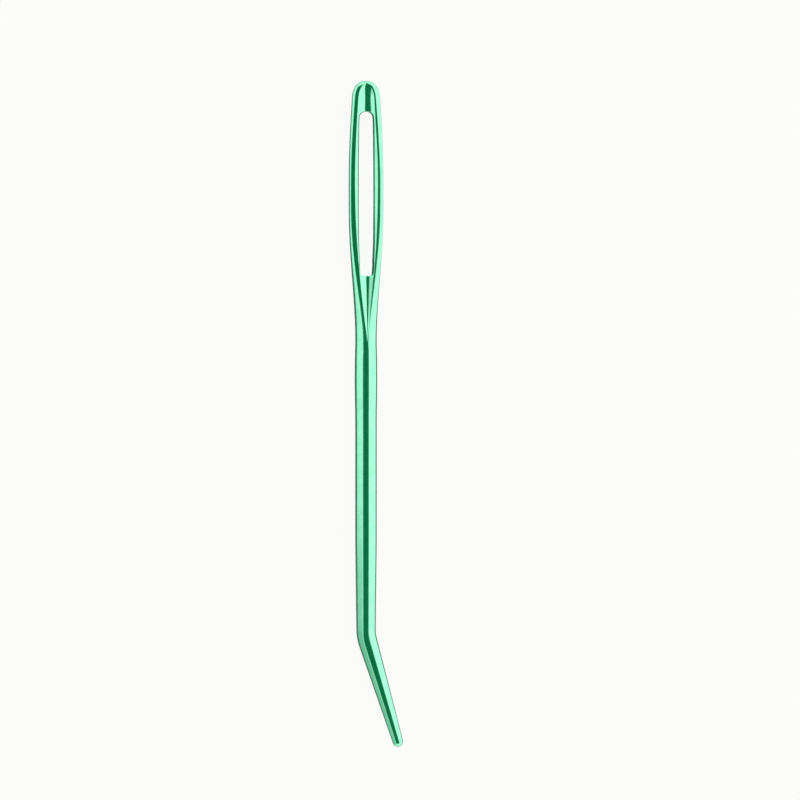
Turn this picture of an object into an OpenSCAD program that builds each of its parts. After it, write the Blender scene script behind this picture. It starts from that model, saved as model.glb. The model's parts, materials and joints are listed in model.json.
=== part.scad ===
// Bent-tip yarn needle, made from one piece of aluminium wire, lying flat with its eye facing up.
// X runs across the needle, towards the side that the tip bends to, Y along it towards the eye, and Z up.
// The head is drawn by distance s below its top, in millimetres, as rings of one rule that are joined up.

/* [Needle] */
// Length over all, along the shaft
needle_len = 70; // [58:1:110]

/* [Head] */
// Width of the head where it is widest
head_w = 3.62; // [3.3:0.02:4.6]
// Thickness of the head along the upper part of the eye
head_t = 1.25; // [1:0.05:2.2]
// Width of the crown where its round end runs into the sides of the eye
crown_w = 3; // [2.7:0.02:3.2]
// Length of the crown's round end, seen from above
crown_len = 2.1; // [1.2:0.1:3]
// Length of the crown's round end, seen from the side
crown_edge = 1.2; // [0.6:0.1:2]
// Length from the eye down to the end of the head, where the wire is round again
neck_len = 7; // [7:0.1:12]

/* [Eye] */
// Metal left above the eye
eye_top = 3.2; // [2.4:0.1:5]
// Length of the eye
eye_len = 17.3; // [14:0.1:26]
// Width of the eye at its middle
eye_w = 1.52; // [1.3:0.02:1.9]
// Width of the eye near its ends
eye_end_w = 1.28; // [1:0.02:1.3]
// Radius of the two corners at the eye's lower end
eye_corner_r = 0.3; // [0.1:0.05:0.5]
// Length from the top of the eye to the widest stretch of the head
belly_lead = 7.2; // [5:0.1:9]
// Length from the widest stretch of the head to the bottom of the eye
belly_tail = 7.2; // [3:0.1:8]

/* [Gutter] */
// Depth of the gutter in each face, above the eye
crown_depth = 0.4; // [0.1:0.01:0.42]
// Depth of the gutter in each face, beside the eye and below it
gutter_depth = 0.36; // [0.1:0.01:0.4]
// Width of the rounded rim outside the gutter, round the crown
crown_rim = 0.66; // [0.5:0.01:0.8]
// Width of the rounded rim outside the gutter, beside the eye
rim_w = 0.6; // [0.4:0.01:0.7]
// Distance from the top of the head to the gutter
gutter_start = 0.35; // [0.2:0.05:0.8]
// Length of the round arch at the gutter's upper end
gutter_arch = 1.9; // [1.5:0.1:2.8]
// Length of the point at the gutter's lower end, below the eye
gutter_point = 6.8; // [4:0.1:6.8]

/* [Shaft] */
// Diameter of the shaft below the head
shaft_d = 2.26; // [1.8:0.02:2.6]
// Diameter of the slight swelling below the head
swell_d = 2.38; // [1.9:0.02:2.8]
// Length of that swelling
swell_len = 7.6; // [3:0.1:12]
// Length over which the shaft narrows above the bend
shaft_taper = 9; // [4:0.5:16]

/* [Bent tip] */
// Diameter of the wire at the bend
bend_d = 2.04; // [1.5:0.02:2.4]
// Radius of the bend, at the middle of the wire
bend_r = 5; // [2:0.5:15]
// Angle of the bend
bend_angle = 16.8; // [5:0.1:40]
// Length of the straight taper and its ball end, below the bend
tip_len = 11.5; // [6:0.1:18]
// Diameter of the ball end
tip_d = 1.12; // [0.8:0.02:1.6]

/* [Hidden] */
$fn = 64;

metal = [0.25, 0.8, 0.55];

// Steps round a quarter of the section: across the gutter, and round the flank
gutter_steps = 5;
flank_steps = 6;
// Steps along the head, and how much closer together they are at the top of the crown
crown_steps = 12;
crown_crowding = 1.8;
limb_steps = 14;
throat_steps = 14;
swell_steps = 12;
ball_steps = 9;
arc_step = 10;
// How square the crown's round end is: 2 is an ellipse
crown_power = 2.3;
// How square the sides of the head are, at the crown, at the widest stretch and at the shaft: 2 is round
crown_side = 2.8;
belly_side = 6.5;
shaft_side = 2;
// How the gutter's walls rise, in the crown, along the eye and in the throat: 2 is a round trough, 1 a V
crown_trough = 2;
eye_trough = 2.8;
throat_vee = 1.05;
// How much of the gutter's depth its crests are rounded over, round the crown and beside the eye
crown_round = 0.33;
rim_round = 0.08;
// Half the width that is left of the gutter where it runs out, at most
crease = 0.1;
// How far a cut runs past the faces it goes through
cut_over = 0.5;
// Distance from the top of the head to its first ring
first_ring = 0.01;

eye_end = eye_top + eye_len;
arch_end = eye_top + eye_end_w / 2;
corner_start = eye_end - eye_corner_r;
belly_from = eye_top + belly_lead;
belly_to = eye_end - belly_tail;
gutter_end = eye_end + gutter_point;
neck_end = eye_end + neck_len;

// The ball end touches the taper smoothly: tip_run is from the bend's end to the ball's middle
tip_r = tip_d / 2;
tip_run = tip_len - tip_r;
taper_reach = norm([bend_d / 2, tip_run]);
taper_angle = acos(tip_r / taper_reach) - atan2(tip_run, bend_d / 2);

// Height of the bend's start and of its end, from the top of the head, and how far the end stands out
bend_end_x = bend_r * (1 - cos(bend_angle));
bend_start = needle_len - tip_r - tip_run * cos(bend_angle) - bend_r * sin(bend_angle);
bend_end = bend_start + bend_r * sin(bend_angle);

// The needle's box: the origin is at the middle of its base
reach_x = max(bend_end_x + tip_run * sin(bend_angle) + tip_r, head_w / 2);
mid_x = (reach_x - head_w / 2) / 2;
lift = max(swell_d, shaft_d, head_t) / 2;

function limit(u) = min(max(u, 0), 1);
function ease(u) = (1 - cos(180 * limit(u))) / 2;
function round_end(u) = pow(1 - pow(1 - limit(u), crown_power), 1 / crown_power);
function mix(a, b, u) = a + (b - a) * u;

// From 0 at the widest stretch of the head to 1 where the wire is round again
function narrowing(s) = ease((s - belly_to) / (neck_end - belly_to));

// Half the width of the head
function half_w(s) =
    s < crown_len ? crown_w / 2 * round_end(s / crown_len)
    : s < belly_from ? mix(crown_w, head_w, sin(90 * (s - crown_len) / (belly_from - crown_len))) / 2
    : mix(head_w, shaft_d, narrowing(s)) / 2;

// Half the thickness of the head at its crests
function half_t(s) =
    s < crown_edge ? head_t / 2 * round_end(s / crown_edge)
    : mix(head_t, shaft_d, narrowing(s)) / 2;

// How square the side of the head is
function side_power(s) =
    s < belly_from ? mix(crown_side, belly_side, s / belly_from)
    : mix(belly_side, shaft_side, narrowing(s));

// From 0 in the crown to 1 at the widest stretch of the head, for what changes between them
function widening(s) = ease((s - eye_top) / belly_lead);

// From 1 at the widest stretch of the head down to 0 at the gutter's point
function pointing(s) = 1 - pow(limit((s - belly_from) / (gutter_end - belly_from)), 2);

// Distance of each crest from the middle
function crest(s) =
    let (arch = round_end((s - gutter_start) / gutter_arch),
         rim = mix(crown_rim, rim_w, widening(s)))
    max(min((half_w(max(s, crown_len)) - rim) * arch, (head_w / 2 - rim_w) * pointing(s)),
        min(crease, half_w(s) / 2));

// Depth of the gutter at its middle
function depth(s) =
    mix(crown_depth, gutter_depth, widening(s))
    * pow(round_end((s - gutter_start) / gutter_arch), 2)
    * min(pointing(s) / pointing(eye_end), 1);

// How steeply the gutter's walls rise
function wall_power(s) =
    s < belly_to ? mix(crown_trough, eye_trough, widening(s))
    : mix(eye_trough, throat_vee, ease((s - belly_to) / (eye_end - belly_to)));

// Depth of the gutter at distance x from the middle
function gutter(s, x) =
    let (round = mix(crown_round, rim_round, widening(s)),
         rest = 1 - pow(x / crest(s), wall_power(s)))
    depth(s) * (rest > round ? rest : rest < -round ? 0 : pow(rest + round, 2) / (4 * round));

// Half the width of the eye along its straight sides
function half_eye(s) = mix(eye_end_w, eye_w, sin(180 * (s - eye_top) / eye_len)) / 2;

// A quarter of the head's section, from distance x0 in the gutter out to the flank
function quarter(s, x0) =
    let (p = side_power(s),
         crest_a = asin(pow(crest(s) / half_w(s), p / 2)),
         xs = concat([for (i = [0 : gutter_steps - 1]) mix(x0, crest(s), i / gutter_steps)],
                     [for (i = [0 : flank_steps])
                         half_w(s) * pow(sin(mix(crest_a, 90, i / flank_steps)), 2 / p)]))
    [for (x = xs) [x, half_t(s) * pow(1 - min(pow(x / half_w(s), p), 1), 1 / p) - gutter(s, x)]];

function reversed(list) = [for (i = [len(list) - 1 : -1 : 0]) list[i]];
function without_last(list) = [for (i = [0 : len(list) - 2]) list[i]];
function without_first(list) = [for (i = [1 : len(list) - 1]) list[i]];

// The whole section of the head, and the section of one side of the eye
function head_ring(s) =
    let (q = quarter(s, 0))
    concat(without_last(q),
           [for (p = reversed(without_first(q))) [p.x, -p.y]],
           [for (p = without_last(q)) [-p.x, -p.y]],
           [for (p = reversed(without_first(q))) [-p.x, p.y]]);
function limb_ring(s) =
    let (q = quarter(s, half_eye(s)))
    concat(without_last(q), [for (p = reversed(q)) [p.x, -p.y]]);

// Joins rings of equal length, given as [s, ring, x of the ring's middle], into one closed solid
module loft(rings) {
    count = len(rings[0][1]);
    last = len(rings) - 1;
    ring_points = [for (r = rings) for (p = r[1]) [p.x, -r[0], p.y]];
    middles = [for (r = [rings[0], rings[last]]) [r[2], -r[0], 0]];
    faces = [for (i = [0 : count - 1])
        let (next = (i + 1) % count)
        for (face = concat(
            [[len(ring_points), next, i], [len(ring_points) + 1, last * count + i, last * count + next]],
            [for (j = [0 : last - 1]) for (half = [0, 1])
                half == 0 ? [j * count + i, j * count + next, (j + 1) * count + i]
                          : [j * count + next, (j + 1) * count + next, (j + 1) * count + i]]))
        face];
    polyhedron(concat(ring_points, middles), faces);
}

// The head from one distance below its top to another, with its rings closer together at the start for power > 1
module head_part(from, to, steps, power = 1) {
    loft([for (i = [0 : steps]) let (s = mix(from, to, pow(i / steps, power))) [s, head_ring(s), 0]]);
}

// The slot that is punched for the eye: round above, and flat with small corners below
module eye_slot() {
    arch = [for (a = [0 : arc_step : 90])
        let (s = eye_top + eye_end_w / 2 * (1 - cos(a))) [half_eye(s) * sin(a), -s]];
    sides = [for (i = [1 : limb_steps - 1])
        let (s = mix(arch_end, corner_start, i / limb_steps)) [half_eye(s), -s]];
    corner = [for (a = [0 : arc_step : 90])
        let (s = corner_start + eye_corner_r * sin(a))
        [half_eye(s) - eye_corner_r * (1 - cos(a)), -s]];
    half = concat(arch, sides, corner);
    height = max(head_t, shaft_d) + 2 * cut_over;
    translate([0, 0, -height / 2])
        linear_extrude(height)
            polygon(concat(half, [for (p = reversed(without_first(half))) [-p.x, p.y]]));
}

// Puts the origin at the middle of the needle's base
module place() {
    color(metal) translate([-mid_x, needle_len / 2, lift]) children();
}

module crown() {
    place() difference() {
        head_part(first_ring, arch_end, crown_steps, crown_crowding);
        eye_slot();
    }
}

module limb() {
    place() loft([for (i = [0 : limb_steps])
        let (s = mix(arch_end, corner_start, i / limb_steps))
        [s, limb_ring(s), (half_eye(s) + half_w(s)) / 2]]);
}

module right_limb() {
    limb();
}

module left_limb() {
    translate([-2 * mid_x, 0, 0]) mirror([1, 0, 0]) limb();
}

module throat() {
    place() difference() {
        head_part(corner_start, neck_end, throat_steps);
        eye_slot();
    }
}

module shaft() {
    swell = [for (i = [0 : swell_steps])
        [(shaft_d + (swell_d - shaft_d) * sin(180 * i / swell_steps)) / 2, -neck_end - swell_len * i / swell_steps]];
    profile = concat(swell, [[shaft_d / 2, shaft_taper - bend_start], [bend_d / 2, -bend_start]]);
    place() rotate([-90, 0, 0])
        rotate_extrude() polygon(concat([[0, -neck_end]], profile, [[0, -bend_start]]));
}

module bend() {
    place() translate([bend_r, -bend_start, 0]) rotate([0, 0, 180])
        rotate_extrude(angle = bend_angle) translate([bend_r, 0]) circle(d = bend_d);
}

module tip() {
    ball = [for (i = [0 : ball_steps])
        let (a = mix(taper_angle, 90, i / ball_steps)) [tip_r * cos(a), tip_run + tip_r * sin(a)]];
    place() translate([bend_end_x, -bend_end, 0]) rotate([90, 0, bend_angle])
        rotate_extrude() polygon(concat([[0, 0], [bend_d / 2, 0]], ball));
}

crown();
left_limb();
right_limb();
throat();
shaft();
bend();
tip();
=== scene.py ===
import json
from math import acos, asin, atan2, cos, degrees, hypot, pi, radians, sin, sqrt

import bmesh
import bpy
from mathutils import Matrix, Vector


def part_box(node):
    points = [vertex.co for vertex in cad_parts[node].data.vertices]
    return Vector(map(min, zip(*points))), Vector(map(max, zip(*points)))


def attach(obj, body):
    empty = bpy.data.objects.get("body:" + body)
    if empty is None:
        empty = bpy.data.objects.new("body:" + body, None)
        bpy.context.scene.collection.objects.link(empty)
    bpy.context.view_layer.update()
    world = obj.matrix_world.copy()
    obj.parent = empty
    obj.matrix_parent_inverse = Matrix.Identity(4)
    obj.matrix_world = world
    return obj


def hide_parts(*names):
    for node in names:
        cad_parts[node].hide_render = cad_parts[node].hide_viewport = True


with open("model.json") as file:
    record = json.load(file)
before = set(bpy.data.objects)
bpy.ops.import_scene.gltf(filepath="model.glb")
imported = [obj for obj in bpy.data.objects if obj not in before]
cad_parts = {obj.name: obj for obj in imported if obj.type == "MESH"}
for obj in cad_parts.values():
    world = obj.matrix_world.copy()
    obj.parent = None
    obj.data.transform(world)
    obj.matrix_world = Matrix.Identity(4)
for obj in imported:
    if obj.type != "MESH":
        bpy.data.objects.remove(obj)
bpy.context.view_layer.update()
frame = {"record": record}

bl_info = {
    "name": "Bent-tip yarn needle",
    "version": (1, 0, 0),
    "blender": (4, 5, 0),
    "location": "3D View > Sidebar > Yarn needle",
    "description": "Builds a green anodised aluminium yarn needle with a guttered eye and a bent tip",
    "category": "Add Mesh",
}

MM = 0.001

# Corners of the zones of the wire, lowest first, and the eye that the record states
CROWN, SHAFT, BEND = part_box("crown"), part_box("shaft"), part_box("bend")
LEFT_LIMB, RIGHT_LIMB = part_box("left_limb"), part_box("right_limb")
EYE = frame["record"]["mounts"][0]

# Line of the wire, seen along the needle, and the top of its head
WIRE_X = (SHAFT[0][0] + SHAFT[1][0]) / 2
WIRE_Z = (SHAFT[0][2] + SHAFT[1][2]) / 2
TOP_Y = CROWN[1][1]

# Vertices in each quarter of the wire
QUARTER = 14
# Places of the gutter's vertices, as shares of the half width of the eye and of what is left up to the crest
IN_EYE = (0, 0.5, 0.866, 1)
TO_CREST = (0.35, 0.65, 0.87, 1)
# Places of the flank's vertices, as shares of the turn from the crest to the widest point
ON_FLANK = (0.07, 0.2, 0.36, 0.53, 0.7, 0.86, 1)
# Distance from a ring to the point that it is scaled about, so that one step also shifts it
ARM = 1 * MM
# Distance under which two places are the same
TOUCH = 0.001 * MM

# Squareness of the wire's section, where 2 is an ellipse: at the crown, at the belly and at the shaft
CROWN_SIDE, BELLY_SIDE, SHAFT_SIDE = 2.8, 6.5, 2
# Power of the gutter's wall, where 1 is a plain V: above the eye, beside it and below it
CROWN_TROUGH, EYE_TROUGH, THROAT_VEE = 2, 2.8, 1.05
# Share of the gutter's depth that rounds its crest, above the eye and beside it
CROWN_ROUND, RIM_ROUND = 0.33, 0.08
# Power of the gutter's depth along its point, where 1 keeps the V's slope and less makes it steeper
POINT_POWER = 0.85
# Power of the rounding at the ends of the head and of the gutter, where 2 is an ellipse
END_POWER = 2.3

# Places of the outputs on the Light Path node
CAMERA_RAY, GLOSSY_RAY = 0, 3


def limit(u):
    return min(max(u, 0), 1)


def ease(u):
    return (1 - cos(pi * limit(u))) / 2


def mix(a, b, u):
    return a + (b - a) * u


def round_end(u):
    return (1 - (1 - limit(u)) ** END_POWER) ** (1 / END_POWER)


def length(name, description, default):
    return bpy.props.FloatProperty(name=name, description=description, default=default, min=0,
                                   precision=5, unit="LENGTH", subtype="DISTANCE")


def share(name, description, default, top=1):
    return bpy.props.FloatProperty(name=name, description=description, default=default, min=0, max=top)


def angle(name, description, default, top=80):
    return bpy.props.FloatProperty(name=name, description=description, default=radians(default), min=0,
                                   max=radians(top), subtype="ANGLE")


def tint(name, description, default):
    return bpy.props.FloatVectorProperty(name=name, description=description, default=default, size=3,
                                         min=0, soft_max=1, subtype="COLOR")


class YarnNeedleSizes(bpy.types.PropertyGroup):
    """Sizes of the needle that a user would change"""
    head_w: length("Head width", "Width of the head where it is widest", RIGHT_LIMB[1][0] - LEFT_LIMB[0][0])
    head_t: length("Head thickness", "Thickness of the head above the eye", CROWN[1][2] - CROWN[0][2])
    crown_w: length("Crown width", "Width where the round end runs into the sides of the eye", 3 * MM)
    crown_len: length("Crown length", "Length of the round end, seen from above", 2.1 * MM)
    crown_edge: length("Crown edge", "Length of the round end, seen from the side", 1.2 * MM)
    eye_top: length("Metal above the eye", "Metal left above the eye", 3.2 * MM)
    eye_len: length("Eye length", "Length of the eye", EYE["dims"]["slot_length_mm"] * MM)
    eye_w: length("Eye width", "Width of the eye at its middle", 1.46 * MM)
    eye_end_w: length("Eye end width", "Width of the eye near its ends", 2 * EYE["dims"]["hole_r_mm"] * MM)
    eye_corner_r: length("Eye corner", "Radius of the corners at the eye's lower end", 0.3 * MM)
    eye_draft: length("Eye draft", "How far the eye's walls lean in, from each face to the middle", 0.17 * MM)
    eye_edge: length("Eye edge", "Rounding of the eye's edges", 0.05 * MM)
    belly_lead: length("Belly lead", "From the top of the eye to the widest stretch", 7.2 * MM)
    belly_tail: length("Belly tail", "From the widest stretch to the bottom of the eye", 7.2 * MM)
    crown_depth: length("Crown gutter depth", "Depth of the gutter above the eye", 0.4 * MM)
    gutter_depth: length("Gutter depth", "Depth of the gutter beside the eye", 0.36 * MM)
    crown_rim: length("Crown rim", "Width of the rounded rim outside the gutter, round the crown", 0.66 * MM)
    rim_w: length("Rim", "Width of the rounded rim outside the gutter, beside the eye", 0.6 * MM)
    gutter_start: length("Gutter start", "From the top of the head to the gutter", 0.35 * MM)
    gutter_arch: length("Gutter arch", "Length of the round arch at the gutter's upper end", 1.9 * MM)
    gutter_point: length("Gutter point", "Length of the gutter's point below the eye", 6.8 * MM)
    crease: length("Crease", "Half the width left of the gutter where it runs out", 0.04 * MM)
    shaft_d: length("Shaft", "Diameter of the shaft below the head", 2.26 * MM)
    swell_d: length("Swelling", "Diameter of the slight swelling below the head", SHAFT[1][2] - SHAFT[0][2])
    swell_len: length("Swelling length", "Length of the slight swelling", 7.6 * MM)
    shaft_taper: length("Shaft taper", "Length over which the shaft narrows above the bend", 9 * MM)
    bend_d: length("Bend", "Diameter of the wire at the bend", BEND[1][2] - BEND[0][2])
    bend_r: length("Bend radius", "Radius of the bend at the middle of the wire", 5 * MM)
    bend_angle: angle("Bend angle", "Angle of the bent tip", 16.8, 40)
    tip_len: length("Tip length", "Length of the taper and its ball end", 11.5 * MM)
    tip_d: length("Tip", "Diameter of the ball end", 1.12 * MM)


class YarnNeedleFinish(bpy.types.PropertyGroup):
    """Colours and texture of the anodised metal"""
    dye: tint("Dye", "Colour of the dyed oxide on clean metal", (0.26, 0.83, 0.52))
    thin_dye: tint("Thin dye", "Colour where the dye is thinner", (0.31, 0.88, 0.58))
    roughness: share("Roughness", "Roughness of the polished metal", 0.13)
    coat: share("Oxide", "Strength of the clear gloss of the oxide", 0.6)
    coat_ior: share("Oxide index", "Index of refraction of the oxide", 1.6, 3)
    draw_lines: share("Draw lines", "Depth of the fine lines that drawing the wire left", 0.12)


class YarnNeedleStage(bpy.types.PropertyGroup):
    """The floor, the light and the camera"""
    floor_size: length("Floor", "Side of the square floor", 3)
    floor_colour: tint("Floor colour", "Colour of the pale floor", (0.93, 0.935, 0.92))
    backdrop_colour: tint("Backdrop", "Colour of the floor where the camera sees it", (1, 1, 0.985))
    backdrop_share: share("Backdrop share", "Share of the floor's look that no shadow reaches", 0.93)
    # Painted shade: a darker colour that the floor takes only in reflections. It stands in for the needle's
    # contact shadow, so that the needle's sides show dark rims.
    reflected_floor_shade: tint("Mirrored floor", "Colour of the floor in the needle's sides", (0.33, 0.38, 0.36))
    satin_roughness: share("Floor gloss", "Roughness of the floor's gloss at a low angle", 0.2)
    satin_from: share("Gloss start", "How low the angle is at which the floor's gloss starts", 0.46)
    satin_to: share("Gloss end", "How low the angle is at which the floor is all gloss", 0.62)
    light: tint("Light", "Light of the tent round the needle", (1.13, 1.15, 1.15))
    right_light: tint("Light from the right", "Light of the tent's right side", (1.34, 1.28, 1.3))
    corner_light: tint("Corner light", "Light of the tent's darker corner, left of the tip", (0.5, 0.6, 0.53))
    gap_colour: tint("Gap", "Light of the gap that the camera looks through", (0.011, 0.172, 0.09))
    gap_length: angle("Gap length", "Half angle of the gap along the needle", 46)
    gap_angle: angle("Gap angle", "Half angle of the gap across the needle", 31)
    gap_flare: angle("Gap flare", "How much wider the gap is towards the tip, on each side", 7)
    gap_edge: angle("Gap edge", "Half the width of the gap's soft edge", 3)
    camera_tilt: angle("Camera tilt", "Lean of the camera to the left", 8.5)
    lens: bpy.props.FloatProperty(name="Lens", description="Focal length in millimetres", default=100, min=20)
    sensor: bpy.props.FloatProperty(name="Sensor", description="Width of the sensor in millimetres", default=36)
    picture_w: length("Picture width", "Width of what the camera sees at the needle", 84 * MM)
    aside: length("Aside", "Distance of the picture's middle to the right of the wire", 3.57 * MM)
    below: length("Below", "Distance of the picture's middle below the top of the head", 33.51 * MM)


class Wire:
    """The rules of the needle's shape, by distance s below the top of its head"""

    def __init__(self, sizes):
        self.z = sizes
        z = sizes
        self.eye_end = z.eye_top + z.eye_len
        self.arch_end = z.eye_top + z.eye_end_w / 2
        self.corner_start = self.eye_end - z.eye_corner_r
        self.belly_from = z.eye_top + z.belly_lead
        self.belly_to = self.eye_end - z.belly_tail
        self.gutter_end = self.eye_end + z.gutter_point
        self.neck_end = TOP_Y - SHAFT[1][1]
        self.bend_start = TOP_Y - SHAFT[0][1]
        self.even_from = self.neck_end + 2 * MM
        self.warp_from = z.eye_top - 0.8 * MM
        self.warp_to = self.eye_end + 1.2 * MM

    def narrowing(self, s):
        return ease((s - self.belly_to) / (self.neck_end - self.belly_to))

    def half_w(self, s):
        z = self.z
        if s < z.crown_len:
            return z.crown_w / 2 * round_end(s / z.crown_len)
        if s < self.belly_from:
            flare = sin(pi / 2 * (s - z.crown_len) / (self.belly_from - z.crown_len))
            return mix(z.crown_w, z.head_w, flare) / 2
        return mix(z.head_w / 2, self.shaft_radius(s), self.narrowing(s))

    def half_t(self, s):
        if s < self.z.crown_edge:
            return self.z.head_t / 2 * round_end(s / self.z.crown_edge)
        return mix(self.z.head_t / 2, self.shaft_radius(s), self.narrowing(s))

    def side_power(self, s):
        if s < self.belly_from:
            return mix(CROWN_SIDE, BELLY_SIDE, s / self.belly_from)
        return mix(BELLY_SIDE, SHAFT_SIDE, self.narrowing(s))

    def widening(self, s):
        return ease((s - self.z.eye_top) / self.z.belly_lead)

    def pointing(self, s):
        return 1 - limit((s - self.belly_from) / (self.gutter_end - self.belly_from)) ** 2

    def arch(self, s):
        return round_end((s - self.z.gutter_start) / self.z.gutter_arch)

    def crest(self, s):
        """Distance from the middle to the gutter's crest"""
        z = self.z
        rim = mix(z.crown_rim, z.rim_w, self.widening(s))
        arched = (self.half_w(max(s, z.crown_len)) - rim) * self.arch(s)
        pointed = (z.head_w / 2 - z.rim_w) * self.pointing(s)
        return max(min(arched, pointed), min(z.crease, self.half_w(s) / 2))

    def depth(self, s):
        full = mix(self.z.crown_depth, self.z.gutter_depth, self.widening(s))
        point = min(self.pointing(s) / self.pointing(self.eye_end), 1)
        return full * self.arch(s) ** 2 * point ** POINT_POWER

    def gutter(self, s, x):
        """Depth of the gutter at distance x from the middle"""
        if s < self.belly_to:
            power = mix(CROWN_TROUGH, EYE_TROUGH, self.widening(s))
        else:
            power = mix(EYE_TROUGH, THROAT_VEE, ease((s - self.belly_to) / (self.eye_end - self.belly_to)))
        crest_round = mix(CROWN_ROUND, RIM_ROUND, self.widening(s))
        rest = 1 - (x / self.crest(s)) ** power
        if rest > crest_round:
            return self.depth(s) * rest
        return self.depth(s) * max(rest + crest_round, 0) ** 2 / (4 * crest_round)

    def face_z(self, s, x):
        p = self.side_power(s)
        return self.half_t(s) * (1 - limit(x / self.half_w(s)) ** p) ** (1 / p) - self.gutter(s, x)

    def half_eye(self, s):
        z = self.z
        return mix(z.eye_end_w, z.eye_w, sin(pi * limit((s - z.eye_top) / z.eye_len))) / 2

    def half_open(self, s):
        """Half the width of the eye's opening in each face"""
        return self.half_eye(s) + self.z.eye_draft

    def warp(self, s, x):
        """How far the eye's round top or cornered bottom pushes a point of row s along the needle"""
        z = self.z
        if s <= self.arch_end:
            across = min(x / (z.eye_end_w / 2 + z.eye_draft), 1)
            full = z.eye_end_w / 2 * sqrt(1 - across ** 2)
            return -full * limit((s - self.warp_from) / (self.arch_end - self.warp_from))
        if s < self.corner_start - TOUCH:
            return 0
        wide = z.eye_corner_r + z.eye_draft
        across = limit((x - self.half_open(self.corner_start)) / wide + 1)
        full = z.eye_corner_r * sqrt(1 - across ** 2)
        return full * (1 - limit((s - self.corner_start) / (self.warp_to - self.corner_start)))

    def quarter(self, row):
        """Points of a quarter of the row's section, from the gutter's middle to the widest point, as (x, s, z)"""
        c = self.crest(row)
        e = min(self.half_open(row), 0.85 * c)
        points = []
        for x in [e * u for u in IN_EYE] + [mix(e, c, u) for u in TO_CREST]:
            s = row + self.warp(row, x) * (x < e + TOUCH)
            points.append((x, s, self.face_z(s, x)))
        p = self.side_power(row)
        crest_a = asin((c / self.half_w(row)) ** (p / 2))
        for u in ON_FLANK:
            a = mix(crest_a, pi / 2, u)
            x = self.half_w(row) * sin(a) ** (2 / p)
            points.append((x, row, self.half_t(row) * max(cos(a), 0) ** (2 / p) - self.gutter(row, x)))
        # Past the gutter's point the vertices spread out evenly round the wire
        even = ease((row - self.gutter_end) / (self.even_from - self.gutter_end))
        if even > 0:
            for place, (x, s, height) in enumerate(points[1:-1], 1):
                x = mix(x, self.half_w(row) * sin(pi / 2 * place / QUARTER), even)
                points[place] = (x, s, self.face_z(s, x))
        return points

    def shaft_radius(self, s):
        z = self.z
        return mix(z.bend_d, z.shaft_d, limit((self.bend_start - s) / z.shaft_taper)) / 2 \
            + (z.swell_d - z.shaft_d) / 2 * sin(pi * limit((s - self.neck_end) / z.swell_len))

    def head_rows(self):
        z = self.z
        crown = [u * MM for u in (0.002, 0.03, 0.09, 0.18, 0.3, 0.45, 0.65, 0.9, 1.2, 1.5, 1.8, 2.1)]
        crown += [self.warp_from, mix(self.warp_from, self.arch_end, 0.5), self.arch_end]
        along = [mix(self.arch_end, self.corner_start, i / 16) for i in range(1, 17)]
        throat = [mix(self.corner_start, self.neck_end, i / 20) for i in range(1, 21)]
        throat += [mix(self.neck_end, self.even_from, i / 5) for i in range(1, 6)]
        return crown + along + throat


def deselect():
    bpy.ops.mesh.select_all(action="DESELECT")


def pick(bm, kind, test):
    """Selects what passes the test, among the mesh's verts, edges or faces"""
    deselect()
    for item in getattr(bm, kind):
        if test(item):
            item.select_set(True)
    bm.select_flush_mode()


def new_ring(step):
    bpy.ops.mesh.extrude_region_move(TRANSFORM_OT_translate={"value": step})


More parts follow.
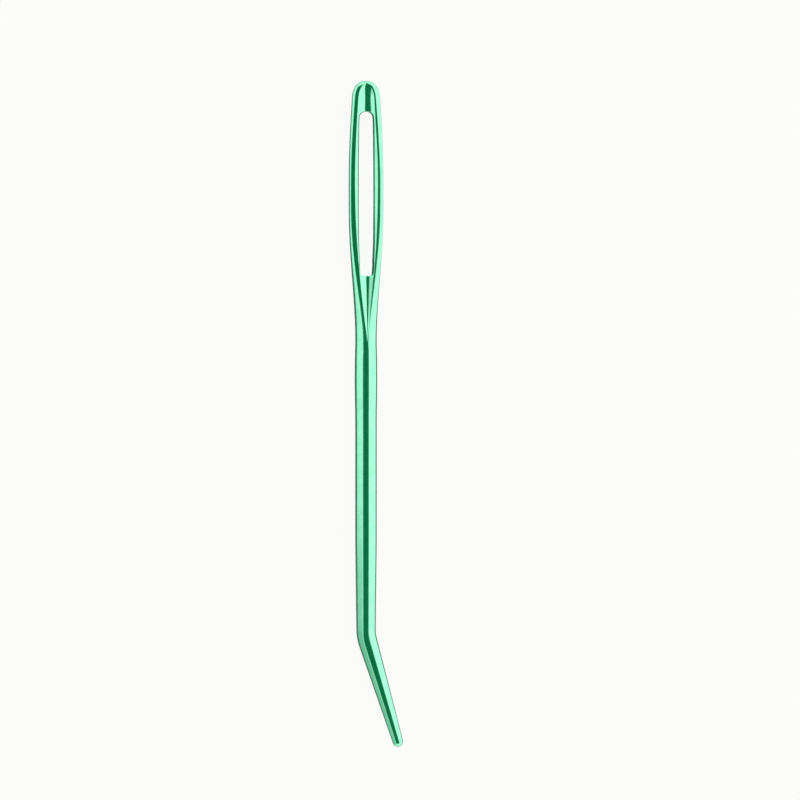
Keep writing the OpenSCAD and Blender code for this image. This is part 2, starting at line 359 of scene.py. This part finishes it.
class NEEDLE_OT_wire(bpy.types.Operator):
    """Models the needle as one piece of wire, with its pressed head, eye and bent tip"""
    bl_idname = "yarn_needle.wire"
    bl_label = "Needle"

    def execute(self, context):
        sizes = context.scene.yarn_needle_sizes
        wire = Wire(sizes)
        rows = wire.head_rows()
        for obj in context.selected_objects:
            obj.select_set(False)
        bpy.ops.mesh.primitive_circle_add(vertices=4 * QUARTER, radius=sizes.shaft_d / 2, fill_type="NOTHING",
                                          rotation=(pi / 2, 0, 0),
                                          location=(WIRE_X, TOP_Y - rows[0], WIRE_Z))
        needle = context.object
        needle.name = needle.data.name = "needle"
        bpy.ops.object.transform_apply(location=True, rotation=True, scale=True)
        bpy.ops.object.mode_set(mode="EDIT")
        bpy.ops.mesh.select_mode(type="VERT")
        bpy.ops.mesh.select_all(action="SELECT")
        self.draw_tube(wire, rows)
        self.bend_tip(wire, sizes)
        bm = bmesh.from_edit_mesh(needle.data)
        self.press_head(bm, wire, rows)
        self.close_top(bm, rows)
        self.punch_eye(needle, wire, sizes)
        bpy.ops.mesh.select_all(action="SELECT")
        bpy.ops.mesh.normals_make_consistent(inside=False)
        bpy.ops.object.mode_set(mode="OBJECT")
        smooth = needle.modifiers.new("smooth", "SUBSURF")
        smooth.levels = smooth.render_levels = 2
        bpy.ops.object.modifier_apply(modifier="smooth")
        bpy.ops.object.shade_smooth()
        needle.data.materials.append(anodised_metal(context.scene.yarn_needle_finish))
        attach(needle, "root")
        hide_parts("crown", "left_limb", "right_limb", "throat", "shaft", "bend", "tip")
        return {"FINISHED"}

    def draw_tube(self, wire, rows):
        """Extrudes the head's rows as plain rings, then the swelling and the taper of the shaft"""
        for upper, lower in zip(rows, rows[1:]):
            new_ring((0, upper - lower, 0))
        s, radius, swell_end = rows[-1], wire.z.shaft_d / 2, wire.neck_end + wire.z.swell_len
        swell = [mix(s, swell_end, i / 10) for i in range(1, 11)]
        taper_from = wire.bend_start - wire.z.shaft_taper
        taper = [mix(swell_end, taper_from, 0.5), taper_from - MM, taper_from, taper_from + MM]
        taper += [mix(taper_from, wire.bend_start, 0.5), wire.bend_start]
        for lower in swell + taper:
            new_ring((0, s - lower, 0))
            factor = wire.shaft_radius(lower) / radius
            bpy.ops.transform.resize(value=(factor, 1, factor),
                                     center_override=(WIRE_X, TOP_Y - lower, WIRE_Z))
            s, radius = lower, wire.shaft_radius(lower)

    def bend_tip(self, wire, z):
        """Spins the bend, then extrudes the taper and the ball end, whose last ring is merged into a point"""
        pivot = Vector((WIRE_X + z.bend_r, TOP_Y - wire.bend_start, WIRE_Z))
        bpy.ops.mesh.spin(steps=6, angle=-z.bend_angle, center=pivot, axis=(0, 0, 1))
        along = Vector((sin(z.bend_angle), -cos(z.bend_angle), 0))
        tip_r = z.tip_d / 2
        run = z.tip_len - tip_r
        taper_angle = acos(tip_r / hypot(z.bend_d / 2, run)) - atan2(run, z.bend_d / 2)
        joint = (tip_r * cos(taper_angle), run + tip_r * sin(taper_angle))
        profile = [(mix(z.bend_d / 2, joint[0], i / 6), mix(0, joint[1], i / 6)) for i in range(1, 7)]
        profile += [(tip_r * cos(a), run + tip_r * sin(a))
                    for a in (mix(taper_angle, pi / 2, i / 7) for i in range(1, 7))]
        profile.append((0, z.tip_len))
        start = pivot + z.bend_r * Vector((-cos(z.bend_angle), -sin(z.bend_angle), 0))
        radius, done = z.bend_d / 2, 0
        for new_radius, reach in profile:
            new_ring((reach - done) * along)
            if new_radius == 0:
                bpy.ops.mesh.merge(type="CENTER")
                break
            bpy.ops.transform.resize(value=[new_radius / radius] * 3, center_override=start + reach * along)
            radius, done = new_radius, reach

    def press_head(self, bm, wire, rows):
        """Moves the points of each plain ring to the head's section, four mirror images at a time"""
        groups = {}
        for v in bm.verts:
            s = TOP_Y - v.co.y
            if s > rows[-1] + TOUCH:
                continue
            row = min(range(len(rows)), key=lambda i: abs(rows[i] - s))
            turn = degrees(atan2(abs(v.co.x - WIRE_X), abs(v.co.z - WIRE_Z)))
            groups.setdefault((row, round(turn / 90 * QUARTER)), []).append(v)
        for (row, place), verts in groups.items():
            x, s, z = wire.quarter(rows[row])[place]
            deselect()
            for v in verts:
                v.select_set(True)
            now = verts[0].co - Vector((WIRE_X, TOP_Y, WIRE_Z))
            wide = x / abs(now.x) if place > 0 else 1
            tall = z / abs(now.z) if place < QUARTER else 1
            bpy.ops.transform.resize(value=(wide, 1 - (s - rows[row]) / ARM, tall),
                                     center_override=(WIRE_X, TOP_Y - rows[row] - ARM, WIRE_Z))

    def close_top(self, bm, rows):
        pick(bm, "edges", lambda e: e.is_boundary and all(v.co.y > TOP_Y - rows[1] / 2 for v in e.verts))
        bpy.ops.mesh.edge_face_add()

    def punch_eye(self, needle, wire, z):
        """Cuts the slot through both faces, joins its two outlines with a wall and rounds their edges"""
        bm = bmesh.from_edit_mesh(needle.data)
        bpy.ops.mesh.select_mode(type="FACE")

        def in_slot(face):
            points = [(abs(v.co.x - WIRE_X), TOP_Y - v.co.y) for v in face.verts]
            return all(z.eye_top - TOUCH < s < wire.eye_end + TOUCH and x < wire.half_open(s) + TOUCH
                       for x, s in points)

        pick(bm, "faces", in_slot)
        bpy.ops.mesh.delete(type="FACE")
        bpy.ops.mesh.select_mode(type="EDGE")
        bm = bmesh.from_edit_mesh(needle.data)
        pick(bm, "edges", lambda e: e.is_boundary)
        rim = {v.co.to_tuple(8) for v in bm.verts if v.select}
        old = {v.co.to_tuple(8) for v in bm.verts}
        bpy.ops.mesh.bridge_edge_loops(number_cuts=1)
        bpy.ops.mesh.select_all(action="SELECT")
        bpy.ops.mesh.normals_make_consistent(inside=False)
        bpy.ops.mesh.select_mode(type="VERT")
        bm = bmesh.from_edit_mesh(needle.data)
        pick(bm, "verts", lambda v: v.co.to_tuple(8) not in old)
        bpy.ops.transform.resize(value=(z.eye_w / (z.eye_w + 2 * z.eye_draft), 1, 1),
                                 center_override=(WIRE_X, TOP_Y, WIRE_Z))
        bpy.ops.mesh.select_mode(type="EDGE")
        bm = bmesh.from_edit_mesh(needle.data)
        pick(bm, "edges", lambda e: all(v.co.to_tuple(8) in rim for v in e.verts))
        bpy.ops.mesh.bevel(offset=z.eye_edge, segments=2, affect="EDGES")


class Maths:
    """A number socket of a material, on which Python's operators add Math nodes"""

    def __init__(self, made, socket):
        self.made = made
        self.socket = socket

    def join(self, operation, other, turned=False):
        values = [other, self] if turned else [self, other]
        return self.made.node("ShaderNodeMath", {"operation": operation}, dict(enumerate(values)))

    def __add__(self, other):
        return self.join("ADD", other)

    def __radd__(self, other):
        return self.join("ADD", other, True)

    def __sub__(self, other):
        return self.join("SUBTRACT", other)

    def __rsub__(self, other):
        return self.join("SUBTRACT", other, True)

    def __mul__(self, other):
        return self.join("MULTIPLY", other)

    def __rmul__(self, other):
        return self.join("MULTIPLY", other, True)

    def between(self, low, high):
        """0 below low, 1 above high, smooth between"""
        return self.made.node("ShaderNodeMapRange", {"interpolation_type": "SMOOTHSTEP"},
                              {"Value": self, "From Min": low, "From Max": high})


class Nodes:
    """Node tree of a material or of the world"""

    def __init__(self, tree):
        self.tree = tree
        tree.nodes.clear()

    def node(self, kind, settings=None, values=None, out=0):
        made = self.tree.nodes.new(kind)
        for key, value in (settings or {}).items():
            setattr(made, key, value)
        for key, value in (values or {}).items():
            if isinstance(value, Maths):
                self.tree.links.new(value.socket, made.inputs[key])
            else:
                made.inputs[key].default_value = value
        return Maths(self, made.outputs[out])

    def size_of(self, value):
        """A number without its sign"""
        return self.node("ShaderNodeMath", {"operation": "ABSOLUTE"}, {0: value})

    def share_of(self, way, axis):
        """How far a direction goes along an axis"""
        return self.node("ShaderNodeVectorMath", {"operation": "DOT_PRODUCT"}, {0: way, 1: axis}, out=1)

    def blend(self, factor, first, second):
        """Mixes two colours"""
        return self.node("ShaderNodeMix", {"data_type": "RGBA"}, {0: factor, 6: first, 7: second}, out=2)


def rgba(colour):
    return (*colour, 1)


def anodised_metal(finish):
    material = bpy.data.materials.new("anodised_metal")
    material.use_nodes = True
    n = Nodes(material.node_tree)
    place = n.node("ShaderNodeTexCoord", out=3)
    long_way = n.node("ShaderNodeMapping", {}, {"Vector": place, "Scale": (1, 0.03, 1)})
    lines = n.node("ShaderNodeTexNoise", {}, {
        "Vector": long_way, "Scale": 9000, "Detail": 3, "Roughness": 0.6})
    cloud = n.node("ShaderNodeTexNoise", {}, {"Vector": place, "Scale": 900, "Detail": 4})
    specks = n.node("ShaderNodeTexNoise", {}, {"Vector": place, "Scale": 5200, "Detail": 2})
    colour = n.blend(cloud.between(0.35, 0.7), rgba(finish.dye), rgba(finish.thin_dye))
    roughness = finish.roughness + (cloud - 0.5) * 0.06 + (lines - 0.5) * 0.05
    height = lines * finish.draw_lines + specks * 0.05
    bump = n.node("ShaderNodeBump", {}, {"Strength": 0.25, "Distance": 0.00001, "Height": height})
    shader = n.node("ShaderNodeBsdfPrincipled", {}, {
        "Base Color": colour, "Metallic": 1, "Roughness": roughness, "Normal": bump,
        "Coat Weight": finish.coat, "Coat Roughness": 0.05, "Coat IOR": finish.coat_ior})
    end = n.tree.nodes.new("ShaderNodeOutputMaterial")
    n.tree.links.new(shader.socket, end.inputs["Surface"])
    return material


def floor_material(stage):
    material = bpy.data.materials.new("pale_floor")
    material.use_nodes = True
    n = Nodes(material.node_tree)
    mirrored = n.node("ShaderNodeLightPath", out=GLOSSY_RAY)
    # Glossy rays see the floor in the darker colour: painted shade in the needle's reflections, standing in for
    # its contact shadow
    matt = n.node("ShaderNodeBsdfDiffuse", {}, {
        "Color": n.blend(mirrored, rgba(stage.floor_colour), rgba(stage.reflected_floor_shade))})
    satin = n.node("ShaderNodeBsdfGlossy", {}, {"Color": (1, 1, 1, 1), "Roughness": stage.satin_roughness})
    facing = n.node("ShaderNodeLayerWeight", {}, {"Blend": 0.5}, out=1)
    shallow = facing.between(stage.satin_from, stage.satin_to) * mirrored
    matt = n.node("ShaderNodeMixShader", {}, {0: shallow, 1: matt, 2: satin})
    glow = n.node("ShaderNodeEmission", {}, {"Color": rgba(stage.backdrop_colour), "Strength": 1})
    seen = n.node("ShaderNodeLightPath", out=CAMERA_RAY) * stage.backdrop_share
    shader = n.node("ShaderNodeMixShader", {}, {0: seen, 1: matt, 2: glow})
    end = n.tree.nodes.new("ShaderNodeOutputMaterial")
    n.tree.links.new(shader.socket, end.inputs["Surface"])
    return material


def light_tent(stage):
    """Pale light from all sides, brighter on the right, with a long dark gap that the camera looks through"""
    world = bpy.data.worlds.new("light_tent")
    bpy.context.scene.world = world
    world.use_nodes = True
    n = Nodes(world.node_tree)
    way = n.node("ShaderNodeTexCoord", out=0)
    tilt = stage.camera_tilt
    across = n.share_of(way, (cos(tilt), 0, sin(tilt)))
    towards = n.share_of(way, (-sin(tilt), 0, cos(tilt)))
    along = n.share_of(way, (0, 1, 0))
    side = n.node("ShaderNodeMath", {"operation": "ARCTAN2"}, {0: across, 1: towards})
    half, edge, reach = stage.gap_angle, stage.gap_edge, sin(stage.gap_length)
    flare = (0 - along).between(0.05, 0.35) * stage.gap_flare
    in_width = 1 - (n.size_of(side) - flare).between(half - edge, half + edge)
    in_length = 1 - n.size_of(along).between(reach - 0.06, reach)
    tent = n.blend(across.between(-0.2, 0.6), rgba(stage.light), rgba(stage.right_light))
    corner = (0 - along).between(0, 0.16) * (0 - across).between(0.45, 0.8)
    tent = n.blend(corner, tent, rgba(stage.corner_light))
    colour = n.blend(in_width * in_length, tent, rgba(stage.gap_colour))
    seen = n.node("ShaderNodeLightPath", out=CAMERA_RAY)
    colour = n.blend(seen, colour, rgba(stage.backdrop_colour))
    end = n.tree.nodes.new("ShaderNodeOutputWorld")
    background = n.node("ShaderNodeBackground", {}, {"Color": colour, "Strength": 1})
    n.tree.links.new(background.socket, end.inputs["Surface"])


class NEEDLE_OT_stage(bpy.types.Operator):
    """Sets the pale floor, the light tent and the camera that looks down at the needle"""
    bl_idname = "yarn_needle.stage"
    bl_label = "Stage"

    def execute(self, context):
        stage = context.scene.yarn_needle_stage
        bpy.ops.object.select_all(action="DESELECT")
        bpy.ops.mesh.primitive_plane_add(size=stage.floor_size)
        floor = context.object
        floor.name = "floor"
        floor.data.materials.append(floor_material(stage))
        light_tent(stage)
        tilt = stage.camera_tilt
        right, up = Vector((cos(tilt), 0, sin(tilt))), Vector((0, 1, 0))
        back = right.cross(up)
        focus = Vector((WIRE_X, TOP_Y - stage.below, WIRE_Z)) + right * stage.aside
        data = bpy.data.cameras.new("camera")
        data.lens = stage.lens
        data.sensor_width = stage.sensor
        distance = stage.picture_w * data.lens / data.sensor_width
        data.clip_start = distance / 50
        camera = bpy.data.objects.new("camera", data)
        context.collection.objects.link(camera)
        place = Matrix((right, up, back)).transposed().to_4x4()
        place.translation = focus + back * distance
        camera.matrix_world = place
        context.scene.camera = camera
        context.scene.view_settings.view_transform = "Standard"
        return {"FINISHED"}


class NEEDLE_PT_panel(bpy.types.Panel):
    """Lists the steps and the sizes of the yarn needle"""
    bl_idname = "NEEDLE_PT_panel"
    bl_label = "Yarn needle"
    bl_space_type = "VIEW_3D"
    bl_region_type = "UI"
    bl_category = "Yarn needle"

    def draw(self, context):
        for operator in (NEEDLE_OT_wire, NEEDLE_OT_stage):
            self.layout.operator(operator.bl_idname)
        for group in (context.scene.yarn_needle_sizes, context.scene.yarn_needle_finish,
                      context.scene.yarn_needle_stage):
            for name in group.__annotations__:
                self.layout.prop(group, name)


CLASSES = (YarnNeedleSizes, YarnNeedleFinish, YarnNeedleStage, NEEDLE_OT_wire, NEEDLE_OT_stage, NEEDLE_PT_panel)


def register():
    for made in CLASSES:
        bpy.utils.register_class(made)
    bpy.types.Scene.yarn_needle_sizes = bpy.props.PointerProperty(type=YarnNeedleSizes)
    bpy.types.Scene.yarn_needle_finish = bpy.props.PointerProperty(type=YarnNeedleFinish)
    bpy.types.Scene.yarn_needle_stage = bpy.props.PointerProperty(type=YarnNeedleStage)


def unregister():
    del bpy.types.Scene.yarn_needle_stage
    del bpy.types.Scene.yarn_needle_finish
    del bpy.types.Scene.yarn_needle_sizes
    for made in reversed(CLASSES):
        bpy.utils.unregister_class(made)


def main():
    register()
    bpy.ops.yarn_needle.wire()
    bpy.ops.yarn_needle.stage()


if __name__ == "__main__":
    main()
